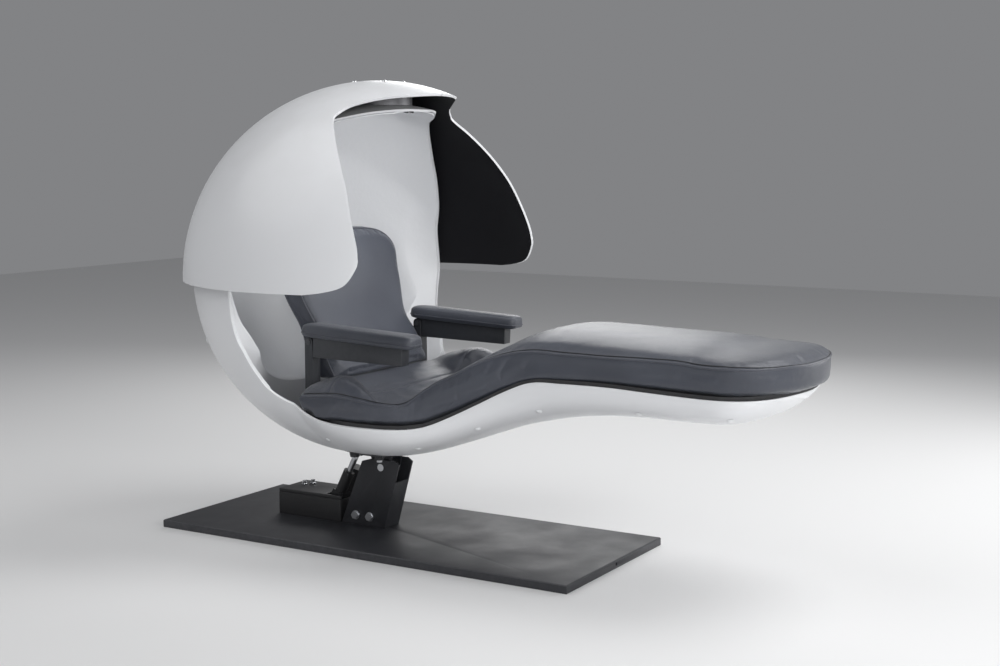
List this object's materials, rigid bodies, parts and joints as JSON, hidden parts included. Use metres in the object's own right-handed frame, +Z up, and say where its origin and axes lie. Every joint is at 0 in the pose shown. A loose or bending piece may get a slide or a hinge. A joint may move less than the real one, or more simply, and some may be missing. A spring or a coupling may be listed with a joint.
{
  "type": "nap pod",
  "caption": "Reclining nap seat in a white spherical shell with a turning privacy visor, fold-up arms and a tilting pod on a steel floor plate.",
  "frame": {"origin": "middle of the floor plate's underside", "axes": "+X towards the feet, along the floor plate's length; +Y towards the sitter's left; +Z up"},
  "size_m": [2.1549, 1.2499, 1.466],
  "materials": {
    "base_paint": "textured satin powder coat",
    "arm_paint": "satin",
    "steel": "brushed",
    "bright_metal": "polished",
    "black_box": "matte",
    "bronze": "machined",
    "white_shell": "gloss gel coat",
    "white_liner": "satin",
    "dark_board": "matte",
    "upholstery": "grained, soft sheen",
    "turntable_metal": "machined",
    "slip_plastic": "matte"
  },
  "bodies": {
    "base": {"base_plate": "base_paint", "foot_bracket": "base_paint", "plate_screws": "steel", "column": "base_paint", "foot_bolts": "steel", "tilt_axle": "steel", "axle_collars": "steel", "actuator_lug": "base_paint", "actuator_lower_pin": "steel", "control_box": "black_box", "control_box_lid": "black_box", "box_connectors": "bright_metal"},
    "actuator": {"actuator_housing": "black_box", "actuator_motor": "black_box"},
    "rod": {"actuator_rod": "steel"},
    "pod": {"cradle": "base_paint", "tilt_bushes": "bronze", "cradle_bolts": "steel", "actuator_upper_pin": "steel", "seat_frame": "base_paint", "seat_shell": "white_shell", "shell_screws": "white_shell", "liner": "white_liner", "canopy_lamps": "black_box", "seat_board": "dark_board", "seat_cushion": "upholstery", "back_frame": "base_paint", "back_board": "dark_board", "backrest_cushion": "upholstery", "arm_post_left": "arm_paint", "arm_post_right": "arm_paint", "arm_pin_left": "steel", "arm_pin_right": "steel", "turntable_base": "turntable_metal", "turntable_screws": "steel", "visor_spindle": "steel", "slip_washer": "slip_plastic"},
    "visor": {"turntable_ring": "turntable_metal", "visor_shell": "white_shell", "visor_screws": "bright_metal"},
    "arm_left": {"arm_beam_left": "arm_paint", "arm_pad_left": "upholstery"},
    "arm_right": {"arm_beam_right": "arm_paint", "arm_pad_right": "upholstery"}
  },
  "joints": [
    {"name": "seat_tilt", "type": "hinge", "parent": "base", "child": "pod", "pos_m": [-0.072, 0, 0.225], "axis": [0, -1, 0], "range_deg": [0, 15]},
    {"name": "actuator_swing", "type": "hinge", "parent": "base", "child": "actuator", "pos_m": [-0.285, 0, 0.072], "axis": [0, 1, 0], "range_deg": [0, 3.5]},
    {"name": "rod_slide", "type": "slide", "parent": "actuator", "child": "rod", "axis": [0.4511, 0, 0.8925], "range_m": [-0.032, 0]},
    {"name": "visor_turn", "type": "hinge", "parent": "pod", "child": "visor", "pos_m": [-0.092, 0, 0.841], "axis": [0, 0, 1], "range_deg": [-3, 177]},
    {"name": "arm_left_fold", "type": "hinge", "parent": "pod", "child": "arm_left", "pos_m": [-0.141, 0.3, 0.662], "axis": [0, -1, 0], "range_deg": [0, 80]},
    {"name": "arm_right_fold", "type": "hinge", "parent": "pod", "child": "arm_right", "pos_m": [-0.141, -0.3, 0.662], "axis": [0, -1, 0], "range_deg": [0, 80]}
  ],
  "couplings": [
    {"joint": "actuator_swing", "follows": "seat_tilt", "ratio": 0.216},
    {"joint": "rod_slide", "follows": "seat_tilt", "m_per_rad": -0.11539}
  ]
}
